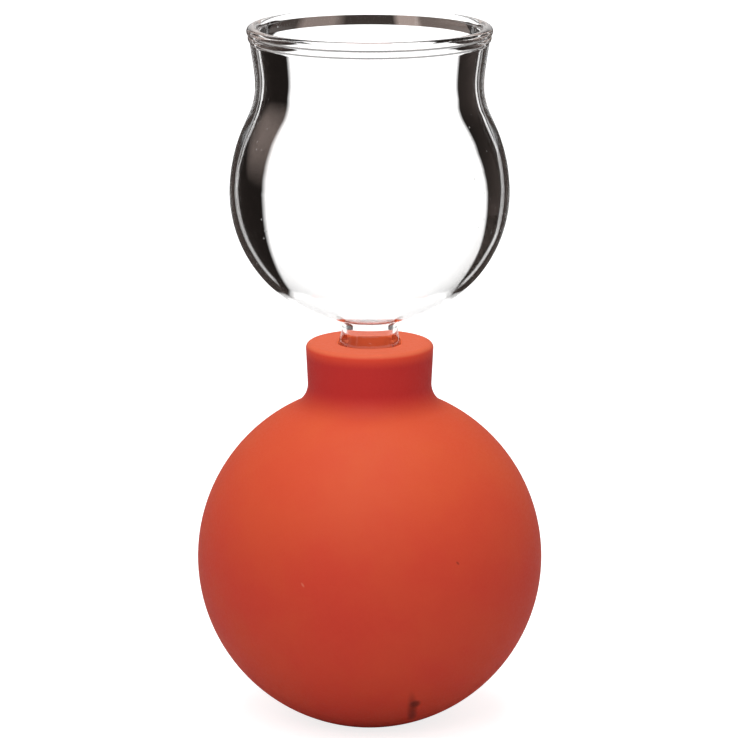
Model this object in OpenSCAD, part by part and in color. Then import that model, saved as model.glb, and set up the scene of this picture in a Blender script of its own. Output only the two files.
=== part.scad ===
// Cupping glass: a blown glass cup whose stem is held in the collar of a hollow rubber ball.
// Cup and ball share the Z axis. The origin is the centre of the flat foot under the ball.
// Lengths are in millimetres and angles in degrees.

/* [Ball] */
// Outside diameter of the rubber ball
ball_d = 57.1; // [48:0.1:70]
// Thickness of the ball's wall
ball_wall = 3; // [2:0.1:4.5]
// Depth of the flat foot, measured up from where a full ball would end
foot_depth = 1; // [0.5:0.1:2]

/* [Collar] */
// Outside diameter of the collar just under its rounded top edge
collar_d = 21; // [18:0.1:26]
// How much narrower the collar is at its root than at its top, on the diameter
collar_taper = 0.6; // [0:0.1:1.5]
// Height of the collar's top face above the crown of the ball
collar_h = 7.8; // [5.5:0.1:12]
// Rounding of the collar's top edge
collar_edge = 0.9; // [0.3:0.1:1.5]
// Radius of the fillet between the collar's root and the ball
collar_fillet = 4.2; // [1:0.1:6]
// Diameter of the bore that grips the stem
bore_d = 10.5; // [9:0.1:13]
// Rounding of the bore's top edge
bore_edge = 0.4; // [0.2:0.1:0.8]
// Rounding where the bore opens into the ball
cavity_edge = 1.2; // [0.5:0.1:2]

/* [Stem] */
// Clearance between the stem's land and the bore, on the radius
fit_gap = 0.05; // [0.02:0.01:0.1]
// How far the stem's tip reaches below the collar's top face
stem_depth = 12; // [10:0.5:16]
// Length of the straight land that the bore grips
land_len = 6; // [3:0.5:7]
// How far the land's upper end lies below the collar's top face
land_drop = 0.4; // [0.2:0.1:1.5]
// Length over which the land draws in to the waist
shoulder_len = 2.4; // [1:0.1:2.8]
// How much narrower the stem is at its tip than at the land, on the radius
tip_in = 0.7; // [0.3:0.05:0.9]
// How much narrower the stem is at its waist, between collar and bowl, than at the land, on the radius
waist_in = 0.55; // [0.2:0.05:0.8]
// Wall of the stem at its waist, which sets the air passage
stem_wall = 0.8; // [0.6:0.05:1.8]
// Clear height between the collar's top face and the bottom of the bowl
stem_h = 3.7; // [3:0.1:8]
// Radius of the fillet between the waist and the bowl
stem_fillet = 1.6; // [0.6:0.1:2]
// Radius of the rounding where the bowl runs down into the air passage
funnel_r = 2; // [1:0.1:3]

/* [Bowl] */
// Outside diameter of the bowl at its widest
belly_d = 45.8; // [42:0.1:54]
// Height of the widest place above the bottom of the bowl, which is also the lower curve's radius
belly_h = 21.5; // [17:0.1:22]
// Outside diameter of the neck at its narrowest
neck_d = 37.1; // [34:0.1:40]
// Height of the narrowest place above the widest place
neck_h = 17.45; // [14:0.05:24]
// Radius of the hollow curve below the narrowest place
neck_r = 11.1; // [6:0.1:14]
// Height over which the wall above the narrowest place bends before it flares straight to the mouth
flare_bend = 1.5; // [0.5:0.1:4]
// Wall of the bowl at its widest
belly_wall = 1.05; // [0.8:0.05:2]
// Wall of the neck and the mouth
neck_wall = 1.35; // [0.9:0.05:2]
// Thickness of the glass at the bottom of the bowl
base_wall = 0.5; // [0.4:0.05:1.2]

/* [Rim] */
// Outside diameter of the rim bead, which is the size the cup is sold by
rim_d = 40; // [38:0.1:44]
// Height of the rim's top above the narrowest place of the neck
rim_up = 9.8; // [8:0.1:14]
// Height of the whole rim, bead and fold together
rim_h = 2.6; // [2.2:0.1:3.5]
// Height of the round bead at the top of the rim
bead_h = 1.7; // [1.4:0.1:2.1]
// Width of the bead, from the mouth to its outside
bead_w = 1.7; // [1.4:0.1:2.4]
// How far the bead stands out from the wall below the rim
bead_out = 0.52; // [0.2:0.02:0.9]
// Depth of the crease between bead and fold, below the top of the rim
crease_depth = 1.5; // [1:0.05:1.65]
// How far the fold swells out between the crease and the wall
fold_swell = 0.18; // [0.05:0.01:0.3]

/* [Hidden] */

// How far a chord may lie inside the curve that it stands for
chord_gap = 0.01;
// Chords in each eased stretch of the stem
ease_steps = 8;
// Chords in the flare above the neck
flare_steps = 8;
// Facets around the axis
$fn = 128;

// Ball and collar
ball_r = ball_d / 2;
cavity_r = ball_r - ball_wall;
ball_z = ball_r - foot_depth;
foot_r = sqrt(ball_r * ball_r - ball_z * ball_z);
collar_r = collar_d / 2;
root_r = collar_r - collar_taper / 2;
collar_z = ball_z + ball_r + collar_h;
bore_r = bore_d / 2;

// Stem
land_r = bore_r - fit_gap;
waist_r = land_r - waist_in;
air_r = waist_r - stem_wall;
tip_r = land_r - tip_in;
tip_round = (tip_r - air_r) / 2;
tip_z = collar_z - stem_depth;
lead_z = tip_z + tip_round;
shoulder_z = collar_z - land_drop;
land_z = shoulder_z - land_len;

// Bowl
belly_r = belly_d / 2;
belly_z = collar_z + stem_h + belly_h;
bowl_c = [belly_r - belly_h, belly_z];
inner_belly_r = belly_r - belly_wall;
inner_h = belly_h - base_wall;
inner_c = [inner_belly_r - inner_h, belly_z];

// Neck
neck_c = [neck_d / 2 + neck_r, belly_z + neck_h];
inner_neck_r = neck_r + neck_wall;

// Rim
rim_r = rim_d / 2;
top_z = neck_c.y + rim_up;
mouth = [rim_r - bead_out, top_z - rim_h];
inner_mouth = mouth - [neck_wall, 0];
bead_c = [rim_r - bead_w / 2, top_z - bead_h / 2];
crease_angle = asin((bead_h / 2 - crease_depth) / (bead_h / 2));

// Points of an ellipse about c, from angle a up to angle b but without the point at b
function oval(c, rx, ry, a, b) =
    let (n = max(3, ceil(abs(b - a) / (2 * acos(1 - chord_gap / max(rx, ry))))))
    [for (i = [0:n - 1]) let (t = a + (b - a) * i / n) c + [rx * cos(t), ry * sin(t)]];

// Points of a circle about c, on the same terms
function arc(c, r, a, b) = oval(c, r, r, a, b);

// Points that ease from p up to q along Z, upright at both ends, without the point at q
function ease(p, q) =
    [for (i = [0:ease_steps - 1]) let (t = i / ease_steps)
        [p.x + (q.x - p.x) * (1 - cos(180 * t)) / 2, p.y + (q.y - p.y) * t]];

// Points of a shallow arc from p to q that swells by s to the right of the way, without the point at q
function swell(p, q, s) =
    let (half = norm(q - p) / 2, r = (half * half + s * s) / (2 * s), u = (q - p) / (2 * half))
    let (c = (p + q) / 2 - (r - s) * [u.y, -u.x], a = atan2(p.y - c.y, p.x - c.x))
    arc(c, r, a, a + 2 * asin(half / r));

// Points that leave p upright and bend into a straight flare up to q, without the point at q
function flare(p, q) =
    let (bend = flare_bend / (q.y - p.y), full = sqrt(1 + bend * bend) - bend)
    [for (i = [0:flare_steps - 1]) let (t = i / flare_steps)
        [p.x + (q.x - p.x) * (sqrt(t * t + bend * bend) - bend) / full, p.y + (q.y - p.y) * t]];

// Radius of the arc that leaves the widest place upright and runs smoothly into the neck's curve
function upper_r(widest, hollow) =
    let (d = neck_c - [widest, belly_z])
    (d * d - hollow * hollow) / (2 * (hollow - d.x));

// Height, above or below a circle's centre, of the centre of a fillet f that touches the circle
// and an upright line at r from the circle's centre
function fillet_reach(r, f, circle_r) = sqrt(pow(circle_r + f, 2) - pow(r + f, 2));

// Centre of the fillet between an upright line at r and the circle about c above it
function fillet_c(r, f, c, circle_r) = [r + f, c.y - fillet_reach(r - c.x, f, circle_r)];

// Centre of the fillet between an upright line at r and the ball's circle below it
function crown_c(r, f, circle_r) = [r + f, ball_z + fillet_reach(r, f, circle_r)];

// Direction of q seen from p
function angle_to(p, q) = atan2(q.y - p.y, q.x - p.x);

// Points from an upright stem of radius r up to the mouth at top: fillet, lower arc, upper arc, neck, flare
function wall_up(r, f, c, lower, widest, hollow, top) =
    let (fc = fillet_c(r, f, c, lower), turn = angle_to(fc, c))
    let (upper = upper_r(widest, hollow), uc = [widest - upper, belly_z], rise = angle_to(uc, neck_c))
    concat(
        arc(fc, f, 180, turn),
        arc(c, lower, turn - 180, 0),
        arc(uc, upper, 0, rise),
        arc(neck_c, hollow, 180 + rise, 180),
        flare(neck_c - [hollow, 0], top));

// Outside of the glass, from the stem's tip up to the crease under the bead
function glass_outside() =
    let (crease = bead_c + [bead_w / 2 * cos(crease_angle), bead_h / 2 * sin(crease_angle)])
    concat(
        arc([air_r + tip_round, lead_z], tip_round, 180, 270),
        arc([air_r + tip_round, lead_z], tip_round, 270, 360),
        ease([tip_r, lead_z], [land_r, land_z]),
        [[land_r, land_z]],
        ease([land_r, shoulder_z], [waist_r, shoulder_z + shoulder_len]),
        [[waist_r, shoulder_z + shoulder_len]],
        wall_up(waist_r, stem_fillet, bowl_c, belly_h, belly_r, neck_r, mouth),
        swell(mouth, crease, fold_swell));

// Inside of the glass, from the air passage up to the mouth
function glass_inside() =
    concat(
        wall_up(air_r, funnel_r, inner_c, inner_h, inner_belly_r, inner_neck_r, inner_mouth),
        [inner_mouth]);

// The same points in the other direction
function reversed(p) = [for (i = [len(p) - 1:-1:0]) p[i]];

// Outside of the ball, from the foot up over the collar to the bore
function ball_outside() =
    let (fc = crown_c(root_r, collar_fillet, ball_r), touch = angle_to([0, ball_z], fc))
    concat(
        [[0, 0]],
        arc([0, ball_z], ball_r, -acos(foot_r / ball_r), touch),
        arc(fc, collar_fillet, 180 + touch, 180),
        [[root_r, fc.y]],
        arc([collar_r - collar_edge, collar_z - collar_edge], collar_edge, 0, 90),
        [[collar_r - collar_edge, collar_z]],
        arc([bore_r + bore_edge, collar_z - bore_edge], bore_edge, 90, 180),
        [[bore_r, collar_z - bore_edge]]);

// Inside of the ball, from the bore down to the bottom of the cavity
function ball_inside() =
    let (ec = crown_c(bore_r, cavity_edge, cavity_r), touch = angle_to([0, ball_z], ec))
    concat(
        arc(ec, cavity_edge, 180, 180 + touch),
        arc([0, ball_z], cavity_r, touch, -90),
        [[0, ball_z - cavity_r]]);

// Hollow rubber ball with a thick collar, moulded in one
module rubber_ball()
{
    color([0.8, 0.29, 0.21])
        rotate_extrude()
            polygon(concat(ball_outside(), ball_inside()));
}

// Cup, neck, rim and hollow stem, blown in one
module glass_cup()
{
    color([0.85, 0.9, 0.91, 0.45])
        rotate_extrude()
            polygon(concat(
                glass_outside(),
                oval(bead_c, bead_w / 2, bead_h / 2, crease_angle, 90),
                oval(bead_c, bead_w / 2, bead_h / 2, 90, 180),
                [bead_c - [bead_w / 2, 0]],
                reversed(glass_inside())));
}

rubber_ball();
glass_cup();
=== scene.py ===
import math

import bpy
from bpy.props import FloatProperty, FloatVectorProperty, IntProperty, PointerProperty
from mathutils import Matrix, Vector


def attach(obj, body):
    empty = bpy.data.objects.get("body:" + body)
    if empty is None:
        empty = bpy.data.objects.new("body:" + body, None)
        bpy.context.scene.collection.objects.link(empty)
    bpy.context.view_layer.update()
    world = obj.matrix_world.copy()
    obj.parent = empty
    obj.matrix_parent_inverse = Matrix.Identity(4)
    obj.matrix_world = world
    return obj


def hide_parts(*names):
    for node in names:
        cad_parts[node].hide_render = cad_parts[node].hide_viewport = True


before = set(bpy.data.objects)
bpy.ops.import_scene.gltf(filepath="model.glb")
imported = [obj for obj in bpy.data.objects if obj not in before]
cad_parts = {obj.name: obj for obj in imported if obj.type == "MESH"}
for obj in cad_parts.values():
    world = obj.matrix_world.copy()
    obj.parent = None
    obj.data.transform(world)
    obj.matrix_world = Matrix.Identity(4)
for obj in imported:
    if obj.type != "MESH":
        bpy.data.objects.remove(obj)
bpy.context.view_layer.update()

bl_info = {
    "name": "Cupping glass",
    "version": (1, 0, 0),
    "blender": (4, 5, 0),
    "location": "3D View > Sidebar > Cupping glass",
    "description": "Turns the glass and the rubber ball of a cupping glass and sets them on a studio table",
    "category": "Object",
}


def length(name, description, default):
    """A size in metres that a user may change."""
    return FloatProperty(
        name=name, description=description, default=default,
        min=0.0, precision=5, subtype="DISTANCE", unit="LENGTH",
    )


def share(name, description, default):
    """A share from none to all."""
    return FloatProperty(
        name=name, description=description, default=default, min=0.0, max=1.0, subtype="FACTOR"
    )


def brightness(name, description, default):
    """A level of light, where 1 is white in the picture."""
    return FloatProperty(name=name, description=description, default=default, min=0.0)


def wattage(name, description, default):
    """The power of a lamp."""
    return FloatProperty(name=name, description=description, default=default, min=0.0, unit="POWER")


def location(name, description, default):
    """A point in the frame, in metres."""
    return FloatVectorProperty(
        name=name, description=description, default=default, size=3, subtype="TRANSLATION", unit="LENGTH"
    )


def facets(default):
    """The number of faces around the axis."""
    return IntProperty(name="Sides", description="Faces around the axis", default=default, min=16, max=512)


def colour(name, description, default):
    """A colour without alpha, in scene-linear values."""
    return FloatVectorProperty(
        name=name, description=description, default=default, size=3, min=0.0, max=1.0, subtype="COLOR"
    )


class RubberBallSettings(bpy.types.PropertyGroup):
    ball_d: length("Ball diameter", "Outside diameter of the ball", 0.0571)
    ball_wall: length("Wall", "Thickness of the ball's wall", 0.003)
    foot_depth: length("Foot depth", "Depth of the flat foot, up from where a full ball would end", 0.001)
    collar_d: length("Collar diameter", "Outside diameter of the collar under its top edge", 0.021)
    collar_taper: length("Collar taper", "How much narrower its root is, on the diameter", 0.0006)
    collar_h: length("Collar height", "Height of the collar's top face above the ball's crown", 0.0078)
    collar_edge: length("Collar edge", "Rounding of the collar's top edge", 0.0009)
    collar_fillet: length("Collar fillet", "Radius of the fillet between collar and ball", 0.0042)
    bore_d: length("Bore diameter", "Diameter of the bore, closed tightly on the stem", 0.01038)
    bore_edge: length("Bore edge", "Rounding of the bore's top edge", 0.0004)
    cavity_edge: length("Cavity edge", "Rounding where the bore opens into the ball", 0.0012)
    sides: facets(184)
    rubber: colour("Rubber", "Colour of the rubber", (0.68, 0.054, 0.028))
    # Colour of the uneven bloom, and also of a painted sheen that pales the top of the ball
    bloom_and_sheen: colour("Bloom", "Colour of the dusty bloom on the rubber", (0.705, 0.092, 0.03))
    # Painted shade: a darker colour on the collar's side and round its root
    collar: colour("Collar", "Colour of the collar's side", (0.585, 0.031, 0.026))
    # Painted highlight on the upper end of the collar's side
    highlit: colour("Highlit", "Colour of the worn upper end of the collar's side", (0.80, 0.07, 0.034))
    # Painted sheen: a paler colour on the collar's top face and edge for its glancing reflection
    face: colour("Face", "Colour of the sheened face on top of the collar", (0.77, 0.135, 0.06))
    # Painted light: a paler colour in the bore, where light through the glass reaches it
    bore: colour("Bore", "Colour of the lightened rubber in the bore", (0.92, 0.17, 0.06))
    nick: colour("Nick", "Colour of the nicks in the rubber", (0.12, 0.012, 0.006))
    pale: colour("Pale", "Colour of a pale tick on the rubber", (0.80, 0.25, 0.16))
    roughness: share("Roughness", "How dull the rubber is", 0.62)


class GlassCupSettings(bpy.types.PropertyGroup):
    land_d: length("Land diameter", "Diameter of the straight land that sits in the bore", 0.0104)
    stem_depth: length("Stem depth", "Reach of the stem's tip below the collar's top face", 0.012)
    land_len: length("Land length", "Length of that land", 0.006)
    land_drop: length("Land drop", "How far the land ends below the collar's top face", 0.0004)
    shoulder_len: length("Shoulder", "Length over which the land draws in to the waist", 0.0024)
    tip_in: length("Tip draw", "How much narrower the tip is than the land, on the radius", 0.0007)
    waist_in: length("Waist draw", "How much narrower the waist is than the land, on the radius", 0.00055)
    stem_wall: length("Stem wall", "Wall of the stem at its waist", 0.0008)
    stem_h: length("Stem height", "Clear height between the collar and the bowl", 0.0037)
    stem_fillet: length("Stem fillet", "Radius of the fillet between waist and bowl", 0.0016)
    funnel_r: length("Funnel", "Rounding where the bowl runs into the air passage", 0.002)
    belly_d: length("Belly diameter", "Outside diameter of the bowl at its widest", 0.0458)
    belly_h: length("Belly height", "Height of the widest place above the bowl's bottom", 0.0215)
    neck_d: length("Neck diameter", "Outside diameter of the neck at its narrowest", 0.0371)
    neck_h: length("Neck height", "Height of the narrowest place above the widest", 0.01745)
    neck_r: length("Neck curve", "Radius of the hollow curve below the narrowest place", 0.0111)
    flare_bend: length("Flare bend", "Height over which the wall bends into the flare", 0.0015)
    belly_wall: length("Belly wall", "Wall of the bowl at its widest", 0.00105)
    neck_wall: length("Neck wall", "Wall of the neck and the mouth", 0.00135)
    base_wall: length("Base wall", "Thickness of the glass at the bowl's bottom", 0.0005)
    rim_d: length("Rim diameter", "Outside diameter of the rim bead", 0.04)
    rim_up: length("Rim height", "Height of the rim's top above the narrowest place", 0.0098)
    rim_h: length("Rim", "Height of bead and fold together", 0.0026)
    bead_h: length("Bead height", "Height of the round bead", 0.0017)
    bead_w: length("Bead width", "Width of the bead", 0.0017)
    bead_out: length("Bead proud", "How far the bead stands out from the wall below the rim", 0.00052)
    crease_depth: length("Crease", "Depth of the crease below the rim's top", 0.0015)
    fold_swell: length("Fold swell", "How far the fold swells between crease and wall", 0.00018)
    uneven_w: length("Uneven bead", "Width of the bead behind, where the blown rim is thickest", 0.0019)
    uneven_crease: length("Uneven crease", "Depth of the crease behind, where it is nearly closed", 0.00121)
    uneven_swell: length("Uneven swell", "Swell of the fold behind, where it is nearly straight", 0.00001)
    sides: facets(188)
    tint: colour("Tint", "Colour of the clear glass", (0.995, 0.992, 0.99))
    dust: colour("Dust", "Colour of the dust on the glass", (0.97, 0.96, 0.95))
    ior: FloatProperty(
        name="IOR", description="How strongly the glass bends light", default=1.5, min=1.3, max=1.7
    )


class StudioSettings(bpy.types.PropertyGroup):
    camera_place: location("Camera", "Where the camera stands", (-0.00011, -0.71608, 0.21964))
    camera_aim: location("Aim", "What the camera looks at", (-0.00011, 0.0, 0.059325))
    lens: FloatProperty(name="Lens", description="Focal length in millimetres", default=217.24, min=10.0)
    top_power: wattage("Top lamp", "Power of the soft lamp above", 3.9)
    key_power: wattage("Key lamp", "Power of the soft lamp in front", 2.4)
    ambient: brightness("Ambient", "Level of the even light all round", 0.4)
    backdrop: brightness("Backdrop", "Level of the white that glass sees", 1.45)
    line: brightness("Line", "Level of the narrow cards that draw lines in the glass", 1.3)
    soft: brightness("Soft", "Level of the soft card that the glass's shoulder mirrors", 1.1)
    header: brightness("Header", "Level of the pale card that the near rim shows", 0.42)
    crown: brightness("Crown", "Level of the pale card that the rim's ends mirror", 0.8)
    veil: brightness("Veil", "Level of the card that the bowl's lower edge mirrors", 1.2)
    dim: brightness("Dim", "Level of the dim card that the glass's right side mirrors", 0.1)
    guided: brightness("Guided", "Level of what glass shows after many mirrorings", 0.5)
    floor: colour("Floor", "Colour of the pale floor", (0.6, 0.6, 0.6))
    glow: brightness("Glow", "Level of the floor's own white to the lens", 0.8)
    room: colour("Room", "Tint of the dark room that glass sees", (1.0, 0.8, 0.72))
    dark: brightness("Dark", "Level of the dark room that glass sees", 0.012)


# How fine a profile is: the longest step along it, the largest turn, and the least steps in a curve
STEP_LENGTH = 0.00035
STEP_TURN = math.radians(4)
LEAST_STEPS = 8
# Fixed counts in the rim, so that its two profiles match point by point
FOLD_STEPS = 18
BEAD_STEPS = 48
# How many neighbours on each side soften a point of the wall between belly and mouth
EASE_REACH = 6


def oval(centre, rx, ry, start, end, steps=None):
    """Points of an ellipse from one angle to another, in degrees, without the last point."""
    a, b = math.radians(start), math.radians(end)
    span = abs(b - a)
    n = steps or max(2, math.ceil(span / STEP_TURN), math.ceil(span * max(rx, ry) / STEP_LENGTH))
    turns = [a + (b - a) * i / n for i in range(n)]
    return [(centre[0] + rx * math.cos(t), centre[1] + ry * math.sin(t)) for t in turns]


def arc(centre, r, start, end, steps=None):
    """Points of a circle, on the same terms."""
    return oval(centre, r, r, start, end, steps)


def line(p, q):
    """Points from p towards q, without q."""
    n = max(1, math.ceil(math.dist(p, q) / (2 * STEP_LENGTH)))
    return [(p[0] + (q[0] - p[0]) * i / n, p[1] + (q[1] - p[1]) * i / n) for i in range(n)]


def ease(p, q):
    """Points that ease from p up to q and are upright at both ends, without q."""
    n = max(LEAST_STEPS, math.ceil(math.dist(p, q) / STEP_LENGTH))
    return [
        (p[0] + (q[0] - p[0]) * (1 - math.cos(math.pi * t)) / 2, p[1] + (q[1] - p[1]) * t)
        for t in (i / n for i in range(n))
    ]


def swell(p, q, s):
    """Points of a shallow arc from p to q that stands out by s to the right of the way, without q."""
    half = math.dist(p, q) / 2
    r = (half * half + s * s) / (2 * s)
    u = ((q[0] - p[0]) / (2 * half), (q[1] - p[1]) / (2 * half))
    c = ((p[0] + q[0]) / 2 - (r - s) * u[1], (p[1] + q[1]) / 2 + (r - s) * u[0])
    a = angle_to(c, p)
    return arc(c, r, a, a + 2 * math.degrees(math.asin(half / r)), FOLD_STEPS)


def flare(p, q, bend_h):
    """Points that leave p upright and bend into a straight flare up to q, without q."""
    bend = bend_h / (q[1] - p[1])
    full = math.sqrt(1 + bend * bend) - bend
    n = max(LEAST_STEPS, math.ceil(math.dist(p, q) / STEP_LENGTH))
    return [
        (p[0] + (q[0] - p[0]) * (math.sqrt(t * t + bend * bend) - bend) / full, p[1] + (q[1] - p[1]) * t)
        for t in (i / n for i in range(n))
    ]


def angle_to(p, q):
    """Direction of q seen from p, in degrees."""
    return math.degrees(math.atan2(q[1] - p[1], q[0] - p[0]))


def fillet_reach(r, f, circle_r):
    """Height from a circle's centre to the centre of a fillet that touches it and an upright line."""
    return math.sqrt((circle_r + f) ** 2 - (r + f) ** 2)


def collar_top(ball):
    """Height of the collar's top face."""
    return ball.ball_d - ball.foot_depth + ball.collar_h


def ball_profile(s):
    """The ball's outline from the middle of the foot over collar and bore to the bottom of the cavity."""
    ball_r, collar_r, bore_r = s.ball_d / 2, s.collar_d / 2, s.bore_d / 2
    root_r = (s.collar_d - s.collar_taper) / 2
    cavity_r, mid = ball_r - s.ball_wall, (0.0, ball_r - s.foot_depth)
    foot_r, top = math.sqrt(ball_r**2 - mid[1] ** 2), collar_top(s)
    outer = (root_r + s.collar_fillet, mid[1] + fillet_reach(root_r, s.collar_fillet, ball_r))
    inner = (bore_r + s.cavity_edge, mid[1] + fillet_reach(bore_r, s.cavity_edge, cavity_r))
    outer_touch, inner_touch = angle_to(mid, outer), angle_to(mid, inner)
    edge_c = (collar_r - s.collar_edge, top - s.collar_edge)
    bore_c = (bore_r + s.bore_edge, top - s.bore_edge)
    return [
        *line((0.0, 0.0), (foot_r, 0.0)),
        *arc(mid, ball_r, -math.degrees(math.acos(foot_r / ball_r)), outer_touch),
        *arc(outer, s.collar_fillet, 180 + outer_touch, 180),
        *line((root_r, outer[1]), (collar_r, edge_c[1])),
        *arc(edge_c, s.collar_edge, 0, 90),
        *line((edge_c[0], top), (bore_c[0], top)),
        *arc(bore_c, s.bore_edge, 90, 180),
        *line((bore_r, bore_c[1]), (bore_r, inner[1])),
        *arc(inner, s.cavity_edge, 180, 180 + inner_touch),
        *arc(mid, cavity_r, inner_touch, -90),
        (0.0, mid[1] - cavity_r),
    ]


def eased(points):
    """The same points, each drawn to the middle of its neighbours so that the curve turns softly."""
    last = len(points) - 1
    reaches = [min(i, last - i, EASE_REACH) for i in range(last + 1)]
    groups = [points[i - reach : i + reach + 1] for i, reach in enumerate(reaches)]
    return [
        (sum(p[0] for p in group) / len(group), sum(p[1] for p in group) / len(group)) for group in groups
    ]


def wall_up(r, f, c, lower, widest, neck_c, hollow, mouth, bend):
    """Points from an upright stem up to the mouth: fillet, lower arc, upper arc, neck and flare."""
    fc = (r + f, c[1] - fillet_reach(r - c[0], f, lower))
    turn = angle_to(fc, c)
    dx, dy = neck_c[0] - widest, neck_c[1] - c[1]
    upper = (dx * dx + dy * dy - hollow * hollow) / (2 * (hollow - dx))
    uc = (widest - upper, c[1])
    rise = angle_to(uc, neck_c)
    return [
        *arc(fc, f, 180, turn),
        *arc(c, lower, turn - 180, 0),
        *eased(
            [
                *arc(uc, upper, 0, rise),
                *arc(neck_c, hollow, 180 + rise, 180),
                *flare((neck_c[0] - hollow, neck_c[1]), mouth, bend),
            ]
        ),
    ]


def cup_profile(s, ball, bead_w, crease_depth, fold_swell):
    """The glass's outline: up the outside from the stem's tip, over the bead and down the inside."""
    top = collar_top(ball)
    land_r = s.land_d / 2
    waist_r, tip_r = land_r - s.waist_in, land_r - s.tip_in
    air_r = waist_r - s.stem_wall
    tip_round = (tip_r - air_r) / 2
    lead_z, shoulder_z = top - s.stem_depth + tip_round, top - s.land_drop
    land_z, waist_z = shoulder_z - s.land_len, shoulder_z + s.shoulder_len
    belly_r, belly_z = s.belly_d / 2, top + s.stem_h + s.belly_h
    inner_r, inner_h = belly_r - s.belly_wall, s.belly_h - s.base_wall
    neck_c = (s.neck_d / 2 + s.neck_r, belly_z + s.neck_h)
    rim_r, rim_z = s.rim_d / 2, neck_c[1] + s.rim_up
    mouth = (rim_r - s.bead_out, rim_z - s.rim_h)
    inner_mouth = (mouth[0] - s.neck_wall, mouth[1])
    half_w, half_h = bead_w / 2, s.bead_h / 2
    bead_c = (rim_r - half_w, rim_z - half_h)
    crease = math.degrees(math.asin((half_h - crease_depth) / half_h))
    crease_p = oval(bead_c, half_w, half_h, crease, 90)[0]
    tip_c = (air_r + tip_round, lead_z)
    outside = [
        *arc(tip_c, tip_round, 180, 360),
        *ease((tip_r, lead_z), (land_r, land_z)),
        *line((land_r, land_z), (land_r, shoulder_z)),
        *ease((land_r, shoulder_z), (waist_r, waist_z)),
        (waist_r, waist_z),
        *wall_up(
            waist_r, s.stem_fillet, (belly_r - s.belly_h, belly_z), s.belly_h, belly_r,
            neck_c, s.neck_r, mouth, s.flare_bend,
        ),
        *swell(mouth, crease_p, fold_swell),
        *oval(bead_c, half_w, half_h, crease, 180, BEAD_STEPS),
    ]
    inside = wall_up(
        air_r, s.funnel_r, (inner_r - inner_h, belly_z), inner_h, inner_r,
        neck_c, s.neck_r + s.neck_wall, inner_mouth, s.flare_bend,
    )
    funnel_z = inside[0][1]
    return [
        *outside,
        *line((bead_c[0] - half_w, bead_c[1]), inner_mouth),
        *reversed(inside + [inner_mouth]),
        *line((air_r, funnel_z), (air_r, lead_z))[1:],
        outside[0],
    ]


def node(tree, kind, inputs=None, **settings):
    """A new node with its settings, and values or links on its inputs by name or number."""
    n = tree.nodes.new(kind)
    for key, value in settings.items():
        setattr(n, key, value)
    for key, value in (inputs or {}).items():
        if isinstance(value, bpy.types.NodeSocket):
            tree.links.new(value, n.inputs[key])
        else:
            n.inputs[key].default_value = value
    return n


def to_surface(tree, shader):
    """Show a shader on the surface of the tree's material."""
    out = node(tree, "ShaderNodeOutputMaterial")
    tree.links.new(shader.outputs[0], out.inputs["Surface"])


def add_object(name, data):
    """A new object in the scene."""
    thing = bpy.data.objects.new(name, data)
    bpy.context.scene.collection.objects.link(thing)
    return thing


def math_node(tree, operation, *values):
    """The result of a Math node."""
    return node(tree, "ShaderNodeMath", dict(enumerate(values)), operation=operation).outputs[0]


def ramp(tree, value, low, high, start=0.0, end=1.0):
    """A level that eases from start to end while the value goes from low to high."""
    return node(
        tree, "ShaderNodeMapRange",
        {"Value": value, "From Min": low, "From Max": high, "To Min": start, "To Max": end},
        interpolation_type="SMOOTHSTEP",
    ).outputs["Result"]


# Name of the point attribute that holds how far the profile behind differs
UNEVEN = "uneven"
# Where the other profile takes over: sine of the turn, from none of it to all of it
UNEVEN_START, UNEVEN_FULL = 0.1, 0.45
# Points closer than this become one point
WELD = 1e-6


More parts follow.
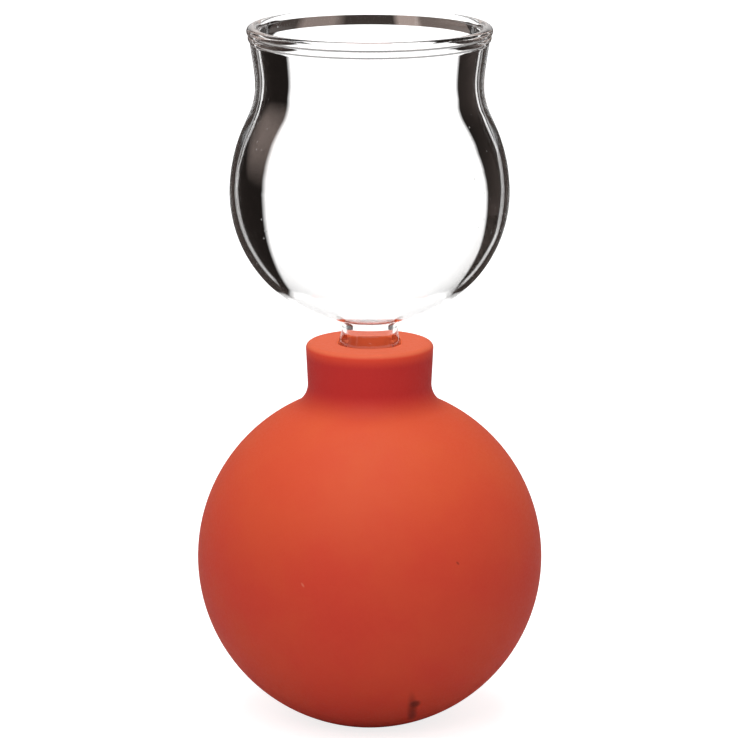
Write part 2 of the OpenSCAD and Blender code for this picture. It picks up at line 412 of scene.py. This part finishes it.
def turning_tree():
    """Geometry nodes that turn a profile of points about the Z axis into a closed skin."""
    tree = bpy.data.node_groups.new("turned_profile", "GeometryNodeTree")
    tree.is_modifier = True
    tree.interface.new_socket("Profile", in_out="INPUT", socket_type="NodeSocketGeometry")
    tree.interface.new_socket("Sides", in_out="INPUT", socket_type="NodeSocketInt")
    tree.interface.new_socket("Finish", in_out="INPUT", socket_type="NodeSocketMaterial")
    tree.interface.new_socket("Skin", in_out="OUTPUT", socket_type="NodeSocketGeometry")
    given, made = node(tree, "NodeGroupInput"), node(tree, "NodeGroupOutput")
    profile, sides = given.outputs["Profile"], given.outputs["Sides"]
    count = node(tree, "GeometryNodeAttributeDomainSize", {"Geometry": profile}, component="MESH")
    around = math_node(tree, "ADD", sides, 1.0)
    grid = node(
        tree, "GeometryNodeMeshGrid", {"Vertices X": count.outputs["Point Count"], "Vertices Y": around}
    )
    index = node(tree, "GeometryNodeInputIndex").outputs[0]
    row = math_node(tree, "FLOOR", math_node(tree, "DIVIDE", math_node(tree, "ADD", index, 0.5), around))
    column = math_node(tree, "SUBTRACT", index, math_node(tree, "MULTIPLY", row, around))
    turn = math_node(tree, "DIVIDE", math_node(tree, "MULTIPLY", column, -2 * math.pi), sides)
    place = node(tree, "GeometryNodeInputPosition").outputs[0]
    shift = node(
        tree, "GeometryNodeInputNamedAttribute", {"Name": UNEVEN}, data_type="FLOAT_VECTOR"
    ).outputs[0]
    point, lean = (
        node(
            tree, "GeometryNodeSampleIndex", {"Geometry": profile, "Value": value, "Index": row},
            data_type="FLOAT_VECTOR", domain="POINT",
        ).outputs["Value"]
        for value in (place, shift)
    )
    behind = ramp(tree, math_node(tree, "SINE", turn), UNEVEN_START, UNEVEN_FULL)
    lean = node(tree, "ShaderNodeVectorMath", {0: lean, "Scale": behind}, operation="SCALE").outputs[0]
    point = node(tree, "ShaderNodeVectorMath", {0: point, 1: lean}, operation="ADD").outputs[0]
    apart = node(tree, "ShaderNodeSeparateXYZ", {0: point})
    x = math_node(tree, "MULTIPLY", apart.outputs["X"], math_node(tree, "COSINE", turn))
    y = math_node(tree, "MULTIPLY", apart.outputs["X"], math_node(tree, "SINE", turn))
    spot = node(tree, "ShaderNodeCombineXYZ", {"X": x, "Y": y, "Z": apart.outputs["Z"]})
    skin = node(
        tree, "GeometryNodeSetPosition", {"Geometry": grid.outputs["Mesh"], "Position": spot.outputs[0]}
    )
    closed = node(tree, "GeometryNodeMergeByDistance", {"Geometry": skin.outputs[0], "Distance": WELD})
    smooth = node(tree, "GeometryNodeSetShadeSmooth", {"Geometry": closed.outputs[0], "Shade Smooth": True})
    finish = node(
        tree, "GeometryNodeSetMaterial", {"Geometry": smooth.outputs[0], "Material": given.outputs["Finish"]}
    )
    tree.links.new(finish.outputs[0], made.inputs["Skin"])
    return tree


def turned(name, profile, sides, material, behind=None):
    """A closed skin turned from a profile of radius and height, with another one behind if it is uneven."""
    wire = bpy.data.meshes.new(name + "_profile")
    wire.from_pydata([(r, 0.0, z) for r, z in profile], [(i, i + 1) for i in range(len(profile) - 1)], [])
    shift = wire.attributes.new(UNEVEN, "FLOAT_VECTOR", "POINT")
    for cell, (r, z), (far_r, far_z) in zip(shift.data, profile, behind or profile, strict=True):
        cell.vector = (far_r - r, 0.0, far_z - z)
    source = add_object(name + "_profile", wire)
    tree = bpy.data.node_groups.get("turned_profile") or turning_tree()
    modifier = source.modifiers.new("Turn", "NODES")
    modifier.node_group = tree
    ids = {i.name: i.identifier for i in tree.interface.items_tree if i.in_out == "INPUT"}
    modifier[ids["Sides"]] = sides
    modifier[ids["Finish"]] = material
    depsgraph = bpy.context.evaluated_depsgraph_get()
    mesh = bpy.data.meshes.new_from_object(source.evaluated_get(depsgraph))
    mesh.name = name
    bpy.data.objects.remove(source)
    bpy.data.meshes.remove(wire)
    if len(mesh.polygons) < sides:
        raise RuntimeError(name + " was not turned")
    return add_object(name, mesh)


def new_material(name):
    """A material with an empty node tree."""
    material = bpy.data.materials.new(name)
    material.use_nodes = True
    material.node_tree.nodes.clear()
    return material, material.node_tree


def noise(tree, place, scale, detail=2.0, roughness=0.55):
    """The level of a noise texture."""
    return node(
        tree, "ShaderNodeTexNoise",
        {"Vector": place, "Scale": scale, "Detail": detail, "Roughness": roughness},
    ).outputs["Fac"]


def blend(tree, factor, a, b):
    """A colour between a and b."""
    mix = node(tree, "ShaderNodeMix", data_type="RGBA")
    for name, value in (("Factor_Float", factor), ("A_Color", a), ("B_Color", b)):
        socket = next(i for i in mix.inputs if i.identifier == name)
        if isinstance(value, bpy.types.NodeSocket):
            tree.links.new(value, socket)
        else:
            socket.default_value = value
    return next(o for o in mix.outputs if o.identifier == "Result_Color")


# Share of a mark's depth at which it reaches its full strength
MARK_CORE = 0.7


def mark(tree, place, start, end, width):
    """A soft oval spot between two points, strongest in its middle."""
    start, end = Vector(start), Vector(end)
    spot = node(
        tree, "ShaderNodeMapping",
        {
            "Vector": place, "Location": (start + end) / 2,
            "Rotation": (end - start).to_track_quat("X", "Z").to_euler(),
            "Scale": ((end - start).length / 2, width / 2, width / 2),
        },
        vector_type="TEXTURE",
    ).outputs[0]
    ball = node(tree, "ShaderNodeTexGradient", {"Vector": spot}, gradient_type="SPHERICAL").outputs["Fac"]
    return ramp(tree, ball, 0.0, MARK_CORE)


# Dark nicks and a pale tick on the rubber: two ends, width, and how much of the mark's colour shows
NICKS = (
    ((0.0067, -0.0224, 0.0112), (0.0069, -0.0115, 0.0018), 0.0026, 0.9),
    ((0.0072, -0.0203, 0.0087), (0.0077, -0.0178, 0.0063), 0.0024, 0.75),
    ((0.0138, -0.0243, 0.0331), (0.0145, -0.0241, 0.0324), 0.0005, 0.5),
)
PALE_TICKS = (((-0.01107, -0.02619, 0.03016), (-0.01043, -0.02652, 0.02926), 0.0005, 0.5),)
# Noise of the rubber: scales of its fine grain and of the uneven bloom, and the middle part of a noise
GRAIN_SCALE, BLOOM_SCALE = 2200.0, 95.0
NOISE_LOW, NOISE_HIGH = 0.3, 0.7
# How much the grain changes the roughness, how strongly and how deeply it dents the light
GRAIN_ROUGHNESS, GRAIN_STRENGTH, GRAIN_DEPTH = 0.06, 0.35, 0.00006
# Bloom and painted sheen: from and to which share of the crown's height the painted sheen grows and pales the
# top of the ball, its most there, and the most that noise adds as uneven bloom
SHEEN_START, SHEEN_FULL, SHEEN_HIGH, BLOOM_UNEVEN = 0.45, 0.95, 0.75, 0.3
# Where the collar's painted shade begins, from the crown, and the painted highlight on its upper end and the
# painted sheen on its face, from its top face
COLLAR_SHADE_START, COLLAR_SHADE_FULL = -0.004, 0.001
HIGHLIT_START, HIGHLIT_FULL = -0.0026, -0.0006
FACE_SHEEN_START, FACE_SHEEN_FULL = -0.0008, -0.0003
# The bore's painted light: how far it fades outside the bore, and the heights between which it begins
BORE_LIGHT_FADE, BORE_LIGHT_START, BORE_LIGHT_FULL = 0.0004, 0.04, 0.05
RUBBER_IOR, RUBBER_GLOSS = 1.5, 0.2


def rubber_material(s):
    """Dull moulded rubber with a faint bloom, a few nicks and a fine grain, and painted light: a sheen that
    pales the top of the ball, shade on the collar, a highlight on its upper end, sheen on its face and light
    in the bore.
    """
    material, tree = new_material("orange_red_rubber")
    place = node(tree, "ShaderNodeTexCoord").outputs["Object"]
    grain = noise(tree, place, GRAIN_SCALE, roughness=0.6)
    height = node(tree, "ShaderNodeSeparateXYZ", {0: place}).outputs["Z"]
    flat = node(
        tree, "ShaderNodeVectorMath", {0: place, 1: (1.0, 1.0, 0.0)}, operation="MULTIPLY"
    ).outputs[0]
    radius = node(tree, "ShaderNodeVectorMath", {0: flat}, operation="LENGTH").outputs["Value"]
    crown, top, bore_r = s.ball_d - s.foot_depth, collar_top(s), s.bore_d / 2
    # Share of the bloom colour: a painted sheen that grows towards the top of the ball, and uneven bloom from
    # noise
    bloom_and_sheen_share = math_node(
        tree, "ADD", ramp(tree, height, SHEEN_START * crown, SHEEN_FULL * crown, 0.0, SHEEN_HIGH),
        ramp(tree, noise(tree, place, BLOOM_SCALE, detail=4.0), NOISE_LOW, NOISE_HIGH, 0.0, BLOOM_UNEVEN),
    )
    # Share of the bore's painted light: inside the bore, above the cavity
    bore_light = math_node(
        tree, "MULTIPLY", ramp(tree, radius, bore_r, bore_r + BORE_LIGHT_FADE, 1.0, 0.0),
        ramp(tree, height, BORE_LIGHT_START, BORE_LIGHT_FULL),
    )
    base = blend(tree, bloom_and_sheen_share, (*s.rubber, 1.0), (*s.bloom_and_sheen, 1.0))
    for cover, paint in (
        # Painted shade on the collar's side and round its root
        (ramp(tree, height, crown + COLLAR_SHADE_START, crown + COLLAR_SHADE_FULL), s.collar),
        # Painted highlight on the upper end of the collar's side
        (ramp(tree, height, top + HIGHLIT_START, top + HIGHLIT_FULL), s.highlit),
        # Painted sheen on the collar's top face and edge
        (ramp(tree, height, top + FACE_SHEEN_START, top + FACE_SHEEN_FULL), s.face),
        # Painted light in the bore
        (bore_light, s.bore),
    ):
        base = blend(tree, cover, base, (*paint, 1.0))
    for marks, paint in ((NICKS, s.nick), (PALE_TICKS, s.pale)):
        for start, end, width, strength in marks:
            cover = math_node(tree, "MULTIPLY", mark(tree, place, start, end, width), strength)
            base = blend(tree, cover, base, (*paint, 1.0))
    rough = ramp(
        tree, grain, NOISE_LOW, NOISE_HIGH, s.roughness - GRAIN_ROUGHNESS, s.roughness + GRAIN_ROUGHNESS
    )
    bump = node(
        tree, "ShaderNodeBump", {"Height": grain, "Strength": GRAIN_STRENGTH, "Distance": GRAIN_DEPTH}
    ).outputs["Normal"]
    shader = node(
        tree, "ShaderNodeBsdfPrincipled",
        {
            "Base Color": base, "Roughness": rough, "Normal": bump,
            "IOR": RUBBER_IOR, "Specular IOR Level": RUBBER_GLOSS,
        },
    )
    to_surface(tree, shader)
    return material


# Dust on the glass: cells per metre and the size of a speck in its cell, then the scale and the
# part of the noise that gathers it in patches, and how far from the middle it begins
SPECK_SCALE, SPECK_CORE, SPECK_EDGE = 700.0, 0.07, 0.12
PATCH_SCALE, PATCH_START, PATCH_FULL = 160.0, 0.58, 0.66
ASIDE_START, ASIDE_FULL = 0.015, 0.018
DUST_ROUGHNESS = 0.6
# Waves of blown glass: scale, strength and depth
WAVE_SCALE, WAVE_STRENGTH, WAVE_DEPTH = 60.0, 0.3, 0.00006


def glass_material(s):
    """Clear blown glass, a little wavy, with sparse dust."""
    material, tree = new_material("clear_glass")
    place = node(tree, "ShaderNodeTexCoord").outputs["Object"]
    cells = node(
        tree, "ShaderNodeTexVoronoi", {"Vector": place, "Scale": SPECK_SCALE, "Randomness": 1.0}, feature="F1"
    ).outputs["Distance"]
    aside = math_node(tree, "ABSOLUTE", node(tree, "ShaderNodeSeparateXYZ", {0: place}).outputs["X"])
    patches = math_node(
        tree, "MULTIPLY", ramp(tree, noise(tree, place, PATCH_SCALE), PATCH_START, PATCH_FULL),
        ramp(tree, aside, ASIDE_START, ASIDE_FULL),
    )
    dust = math_node(tree, "MULTIPLY", ramp(tree, cells, SPECK_CORE, SPECK_EDGE, 1.0, 0.0), patches)
    swells = noise(tree, place, WAVE_SCALE, detail=1.0)
    waves = node(
        tree, "ShaderNodeBump", {"Height": swells, "Strength": WAVE_STRENGTH, "Distance": WAVE_DEPTH}
    ).outputs["Normal"]
    shader = node(
        tree, "ShaderNodeBsdfPrincipled",
        {
            "Base Color": blend(tree, dust, (*s.tint, 1.0), (*s.dust, 1.0)),
            "Roughness": math_node(tree, "MULTIPLY", dust, DUST_ROUGHNESS),
            "Normal": waves, "IOR": s.ior, "Transmission Weight": 1.0,
        },
    )
    to_surface(tree, shader)
    return material


class CUPPING_OT_rubber_ball(bpy.types.Operator):
    """Turn the hollow rubber ball with its collar"""

    bl_idname = "cupping_glass.rubber_ball"
    bl_label = "Rubber ball"

    def execute(self, context):
        s = context.scene.cupping_ball
        piece = turned("ball_and_collar", ball_profile(s), s.sides, rubber_material(s))
        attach(piece, "ball")
        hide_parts("rubber_ball")
        return {"FINISHED"}


class CUPPING_OT_glass_cup(bpy.types.Operator):
    """Turn the blown glass cup with its rim and stem"""

    bl_idname = "cupping_glass.glass_cup"
    bl_label = "Glass cup"

    def execute(self, context):
        s = context.scene.cupping_cup
        ball = context.scene.cupping_ball
        near = cup_profile(s, ball, s.bead_w, s.crease_depth, s.fold_swell)
        behind = cup_profile(s, ball, s.uneven_w, s.uneven_crease, s.uneven_swell)
        piece = turned("blown_cup", near, s.sides, glass_material(s), behind)
        piece.visible_shadow = piece.visible_diffuse = False
        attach(piece, "cup")
        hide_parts("glass_cup")
        return {"FINISHED"}


WHITE = (1.0, 1.0, 1.0)
# Limits between whole counts of what a ray has met: none, and no more than the two faces of one wall
NONE_YET, ONE_WALL = 0.5, 2.5
# Mirrorings between which light that is guided in the glass goes from dark to its level
GUIDED_START, GUIDED_FULL = 2.5, 4.5


def ray_kinds(tree):
    """Rays straight from the lens, and rays that clear glass bends or mirrors on their way to it."""
    path = node(tree, "ShaderNodeLightPath")
    clear = math_node(tree, "LESS_THAN", path.outputs["Diffuse Depth"], NONE_YET)
    return path.outputs["Is Camera Ray"], math_node(tree, "MULTIPLY", path.outputs["Is Singular Ray"], clear)


def dark_level(tree, s):
    """How light the dark room is through clear glass: a little more after many mirrorings."""
    depth = node(tree, "ShaderNodeLightPath").outputs["Glossy Depth"]
    return node(
        tree, "ShaderNodeMapRange",
        {
            "Value": depth, "From Min": GUIDED_START, "From Max": GUIDED_FULL,
            "To Min": s.dark, "To Max": s.guided,
        },
    ).outputs["Result"]


# Which rays from clear glass see a card: those that it only bends, at any, one or both walls (bent, near,
# far), those that it mirrors, at any or one wall (glossy, mirrored), or those that it bends or that have
# met no more than one wall (either)
RULES = ("either", "bent", "mirrored", "glossy", "near", "far")


def card_rays(tree, rule):
    """The rays that see a card of one rule."""
    path, clear = node(tree, "ShaderNodeLightPath"), ray_kinds(tree)[1]
    bent = math_node(tree, "LESS_THAN", path.outputs["Glossy Depth"], NONE_YET)
    glossy = math_node(tree, "SUBTRACT", 1.0, bent)
    near = math_node(tree, "LESS_THAN", path.outputs["Transmission Depth"], ONE_WALL)
    rules = {
        "either": math_node(tree, "MAXIMUM", near, bent),
        "bent": bent,
        "mirrored": math_node(tree, "MULTIPLY", near, glossy),
        "glossy": glossy,
        "near": math_node(tree, "MULTIPLY", near, bent),
        "far": math_node(tree, "MULTIPLY", math_node(tree, "SUBTRACT", 1.0, near), bent),
    }
    return math_node(tree, "MULTIPLY", clear, rules[rule])


def set_world(s):
    """White to the lens, dark to clear glass, and a plain even light on everything else."""
    world = bpy.data.worlds.new("studio")
    world.use_nodes = True
    tree = world.node_tree
    tree.nodes.clear()
    straight, through = ray_kinds(tree)
    plain = math_node(tree, "SUBTRACT", 1.0, math_node(tree, "ADD", straight, through))
    level = math_node(tree, "ADD", straight, math_node(tree, "MULTIPLY", plain, s.ambient))
    level = math_node(tree, "ADD", level, math_node(tree, "MULTIPLY", through, dark_level(tree, s)))
    tint = blend(tree, through, (*WHITE, 1.0), (*s.room, 1.0))
    back = node(tree, "ShaderNodeBackground", {"Color": tint, "Strength": level})
    out = node(tree, "ShaderNodeOutputWorld")
    tree.links.new(back.outputs[0], out.inputs["Surface"])
    bpy.context.scene.world = world


# Half the width of the floor
FLOOR_HALF = 6.0


def set_floor(s):
    """A wide pale floor that is white to the lens and keeps a soft shadow."""
    material, tree = new_material("pale_floor")
    straight, through = ray_kinds(tree)
    matt = node(tree, "ShaderNodeBsdfDiffuse", {"Color": (*s.floor, 1.0)})
    glow = node(
        tree, "ShaderNodeEmission",
        {"Color": (*WHITE, 1.0), "Strength": math_node(tree, "MULTIPLY", straight, s.glow)},
    )
    lit = node(tree, "ShaderNodeAddShader", {0: matt.outputs[0], 1: glow.outputs[0]})
    dim = node(tree, "ShaderNodeEmission", {"Color": (*s.room, 1.0), "Strength": dark_level(tree, s)})
    both = node(tree, "ShaderNodeMixShader", {0: through, 1: lit.outputs[0], 2: dim.outputs[0]})
    to_surface(tree, both)
    mesh = bpy.data.meshes.new("floor")
    corners = [(x * FLOOR_HALF, y * FLOOR_HALF, 0) for x, y in ((-1, -1), (1, -1), (1, 1), (-1, 1))]
    mesh.from_pydata(corners, [], [(0, 1, 2, 3)])
    mesh.materials.append(material)
    floor = add_object("floor", mesh)


# Upright cards stand at this distance. Cards of one rule lie this much above those of the rule before.
CARD_RADIUS = 0.33
CARD_LIFT = 0.0002
# Faces from one end of a card to the other, and the name of the attribute with its brightness
CARD_SPAN = 12
LEVEL = "level"
# A white card from the foot of the object along the floor and up behind it.
# Each row has a radius, a height, and its two ends in degrees from straight behind, to the right.
WINDOW = (
    (0.002, CARD_LIFT, -90.0, 90.0), (0.03, CARD_LIFT, -75.0, 75.0), (0.06, CARD_LIFT, -58.0, 58.0),
    (0.08, CARD_LIFT, -46.0, 46.0), (0.1, CARD_LIFT, -30.0, 31.0), (0.12, CARD_LIFT, -26.0, 26.0),
    (0.16, CARD_LIFT, -17.5, 18.0), (0.24, CARD_LIFT, -9.7, 11.9), (CARD_RADIUS, CARD_LIFT, -8.0, 11.0),
    (CARD_RADIUS, 0.033, -7.3, 9.6), (CARD_RADIUS, 0.06, -7.0, 8.6), (CARD_RADIUS, 0.1, -7.0, 8.6),
)
# How high its upper part goes for rays through both walls of the glass, how far that part overlaps the
# lower one, and how much further out it stands
SKY_TOP, SKY_OVERLAP, SKY_OUT = 0.4, 0.002, 1.005
# Directions of the same card for the other sides that the object is looked at from, a little further out
SIDES, SIDES_OUT = (-45, -90, 135), 1.01
# Degrees over which the ends of each card fade out
WINDOW_FADE, HEADER_FADE, CROWN_FADE, LINE_FADE, SOFT_FADE, DIM_FADE = 0.8, 2.0, 6.0, 1.0, 20.0, 5.0
# Greys above the white card that the far side of the rim shows: a direction and a level there
TRANSOM = (
    (-9.0, 0.06), (-5.1, 0.06), (-4.3, 0.27), (-2.2, 0.27), (-1.4, 0.05),
    (1.4, 0.05), (1.8, 0.42), (2.9, 0.42), (3.3, 0.17), (9.0, 0.17),
)
TRANSOM_TOP = 0.145
# A pale card above them, in rows as above, that the near side of the rim shows
HEADER = ((CARD_RADIUS, 0.148, -14.0, 14.0), (CARD_RADIUS, 0.24, -14.0, 14.0))
# A pale card as high that the rim's ends mirror, in the same rows
CROWN = ((CARD_RADIUS, 0.125, -20.0, 20.0), (CARD_RADIUS, 0.36, -20.0, 20.0))
# Narrow cards that draw thin bright lines in the glass, in rows as above
LEFT_LINE = (
    (0.11, CARD_LIFT, -45.0, -41.0), (0.17, CARD_LIFT, -47.0, -43.0), (0.24, CARD_LIFT, -45.0, -41.0),
    (CARD_RADIUS, CARD_LIFT, -43.5, -39.5), (CARD_RADIUS, 0.03, -42.5, -38.5),
    (CARD_RADIUS, 0.06, -41.0, -37.0), (CARD_RADIUS, 0.105, -41.0, -37.5),
    (CARD_RADIUS, 0.14, -38.5, -35.0), (CARD_RADIUS, 0.2, -38.5, -35.0),
)
RIGHT_LINE = (
    (0.11, CARD_LIFT, 38.0, 42.0), (0.18, CARD_LIFT, 39.0, 43.0), (0.25, CARD_LIFT, 36.5, 40.0),
    (CARD_RADIUS, CARD_LIFT, 38.5, 42.5), (CARD_RADIUS, 0.03, 39.0, 42.5),
    (CARD_RADIUS, 0.065, 38.0, 41.5), (CARD_RADIUS, 0.105, 36.0, 39.5),
    (CARD_RADIUS, 0.12, 33.0, 36.5), (CARD_RADIUS, 0.2, 31.5, 35.0),
)
# Lines for the other sides: directions, half the width in degrees, and two heights
SIDE_LINES, SIDE_LINE_HALF, SIDE_LINE_HEIGHTS = (-128, 97), 1.5, (0.0, 0.2)
# A ring over the collar that keeps most of its red out of the bowl's lower edge: height and two radii
VEIL_HEIGHT, VEIL = 0.0642, (0.0063, 0.0165)
# Soft cards that the glass mirrors, high on the left and dim on the right: height and share of the level
SOFT = ((0.08, 0.0), (0.16, 0.7), (0.25, 1.1), (0.34, 0.7), (0.46, 0.0))
SOFT_ENDS = (-90, -60)
DIM = ((0.0, 1.0), (0.1, 1.0), (0.25, 0.0))
DIM_ENDS = (50, 100)


def set_cards(s):
    """White and grey cards round the object that only clear glass sees."""
    points, colours, faces, kinds = [], [], [], []

    def card(rule, level, tint, fade, rows):
        """Add a card in rows. Its level may run from end to end, and a row may have a share of it."""
        first, wide, kind = len(points), CARD_SPAN + 3, RULES.index(rule)
        low, high = level if isinstance(level, tuple) else (level, level)
        for radius, height, left, right, *part in rows:
            inner = [left + (right - left) * i / CARD_SPAN for i in range(CARD_SPAN + 1)]
            soft = fade * CARD_RADIUS / radius
            for turn in (math.radians(a) for a in (left - soft, *inner, right + soft)):
                points.append((radius * math.sin(turn), radius * math.cos(turn), height + kind * CARD_LIFT))
            colours.extend([0.0] * 4)
            for i in range(CARD_SPAN + 1):
                here = (low + (high - low) * i / CARD_SPAN) * (part[0] if part else 1.0)
                colours.extend([*(here * c for c in tint), 1.0])
            colours.extend([0.0] * 4)
        for i in range(first, len(points) - wide):
            if (i - first) % wide < wide - 1:
                faces.append((i, i + 1, i + wide + 1, i + wide))
                kinds.append(kind)

    *_, (radius, top, left, right) = WINDOW
    lower = (radius * SKY_OUT, top - SKY_OVERLAP, left, right)
    upper = (radius * SKY_OUT, SKY_TOP, left, right)
    card("either", s.backdrop, WHITE, WINDOW_FADE, WINDOW)
    card("far", s.backdrop, WHITE, WINDOW_FADE, [lower, upper])
    for side in SIDES:
        rows = [(r * SIDES_OUT, z, side + a, side + b) for r, z, a, b in (*WINDOW, upper)]
        card("bent", s.backdrop, WHITE, WINDOW_FADE, rows)
    for (a, low), (b, high) in zip(TRANSOM, TRANSOM[1:]):
        card("near", (low, high), s.room, 0.0, [(CARD_RADIUS, z, a, b) for z in (top, TRANSOM_TOP)])
    card("near", s.header, WHITE, HEADER_FADE, HEADER)
    card("mirrored", s.crown, WHITE, CROWN_FADE, CROWN)
    card("mirrored", s.veil, WHITE, 0.0, [(radius, VEIL_HEIGHT, -180.0, 180.0) for radius in VEIL])
    for rows in (LEFT_LINE, RIGHT_LINE):
        card("mirrored", s.line, WHITE, LINE_FADE, rows)
    for side in SIDE_LINES:
        ends = (side - SIDE_LINE_HALF, side + SIDE_LINE_HALF)
        card("mirrored", s.line, WHITE, LINE_FADE, [(CARD_RADIUS, z, *ends) for z in SIDE_LINE_HEIGHTS])
    card("glossy", s.soft, s.room, SOFT_FADE, [(CARD_RADIUS, z, *SOFT_ENDS, part) for z, part in SOFT])
    card("mirrored", s.dim, s.room, DIM_FADE, [(CARD_RADIUS, z, *DIM_ENDS, part) for z, part in DIM])
    mesh = bpy.data.meshes.new("cards")
    mesh.from_pydata(points, [], faces)
    mesh.attributes.new(LEVEL, "FLOAT_COLOR", "POINT").data.foreach_set("color", colours)
    for rule in RULES:
        material, tree = new_material(rule + "_card")
        level = node(tree, "ShaderNodeAttribute", attribute_name=LEVEL).outputs["Color"]
        glow = node(tree, "ShaderNodeEmission", {"Color": level, "Strength": 1.0})
        clear = node(tree, "ShaderNodeBsdfTransparent")
        seen = card_rays(tree, rule)
        both = node(tree, "ShaderNodeMixShader", {0: seen, 1: clear.outputs[0], 2: glow.outputs[0]})
        to_surface(tree, both)
        mesh.materials.append(material)
    mesh.polygons.foreach_set("material_index", kinds)
    cards = add_object("cards", mesh)
    cards.visible_camera = cards.visible_diffuse = cards.visible_shadow = False


# Where each lamp stands and how wide it is, and what all of them are aimed at
TOP_LAMP = ((0.0, 0.0, 0.9), 0.6)
KEY_LAMP = ((-0.12, -0.58, 0.62), 0.5)
LAMP_AIM = (0.0, 0.0, 0.05)
# Width of the camera's sensor, in millimetres
SENSOR_WIDTH = 36.0
# Light that is guided in the rim is mirrored many times
BOUNCES = 96


def facing(place, aim):
    """The turn that makes a lamp or a camera at one place look at another."""
    return (Vector(aim) - Vector(place)).to_track_quat("-Z", "Y").to_euler()


def set_lamp(name, place, size, power):
    """A soft square lamp."""
    data = bpy.data.lights.new(name, "AREA")
    data.shape, data.size, data.energy = "SQUARE", size, power
    lamp = add_object(name, data)
    lamp.location = place
    lamp.rotation_euler = facing(place, LAMP_AIM)
    lamp.visible_transmission = False


def set_camera(s):
    """The camera at the photograph's place."""
    data = bpy.data.cameras.new("camera")
    data.sensor_width, data.lens = SENSOR_WIDTH, s.lens
    camera = add_object("camera", data)
    camera.location = s.camera_place
    camera.rotation_euler = facing(s.camera_place, s.camera_aim)
    bpy.context.scene.camera = camera


class CUPPING_OT_studio(bpy.types.Operator):
    """Set the floor, the cards, the lamps and the camera"""

    bl_idname = "cupping_glass.studio"
    bl_label = "Studio"

    def execute(self, context):
        s = context.scene.cupping_studio
        context.scene.view_settings.view_transform = "Standard"
        cycles = context.scene.cycles
        cycles.max_bounces = cycles.transmission_bounces = cycles.glossy_bounces = BOUNCES
        set_world(s)
        set_floor(s)
        set_cards(s)
        set_lamp("top", *TOP_LAMP, s.top_power)
        set_lamp("key", *KEY_LAMP, s.key_power)
        set_camera(s)
        return {"FINISHED"}


class CUPPING_PT_panel(bpy.types.Panel):
    """Lists the pieces and their sizes"""

    bl_idname = "CUPPING_PT_panel"
    bl_label = "Cupping glass"
    bl_space_type = "VIEW_3D"
    bl_region_type = "UI"
    bl_category = "Cupping glass"

    def draw(self, context):
        for group, operator in GROUPS:
            box = self.layout.box()
            settings = getattr(context.scene, group)
            for key in settings.bl_rna.properties.keys():
                if key not in ("rna_type", "name"):
                    box.prop(settings, key)
            box.operator(operator)


GROUPS = (
    ("cupping_ball", "cupping_glass.rubber_ball"),
    ("cupping_cup", "cupping_glass.glass_cup"),
    ("cupping_studio", "cupping_glass.studio"),
)
CLASSES = (
    RubberBallSettings,
    GlassCupSettings,
    StudioSettings,
    CUPPING_OT_rubber_ball,
    CUPPING_OT_glass_cup,
    CUPPING_OT_studio,
    CUPPING_PT_panel,
)


def register():
    for c in CLASSES:
        bpy.utils.register_class(c)
    bpy.types.Scene.cupping_ball = PointerProperty(type=RubberBallSettings)
    bpy.types.Scene.cupping_cup = PointerProperty(type=GlassCupSettings)
    bpy.types.Scene.cupping_studio = PointerProperty(type=StudioSettings)


def unregister():
    for group, _ in GROUPS:
        delattr(bpy.types.Scene, group)
    for c in reversed(CLASSES):
        bpy.utils.unregister_class(c)


def main():
    register()
    bpy.ops.cupping_glass.rubber_ball()
    bpy.ops.cupping_glass.glass_cup()
    bpy.ops.cupping_glass.studio()


if __name__ == "__main__":
    main()
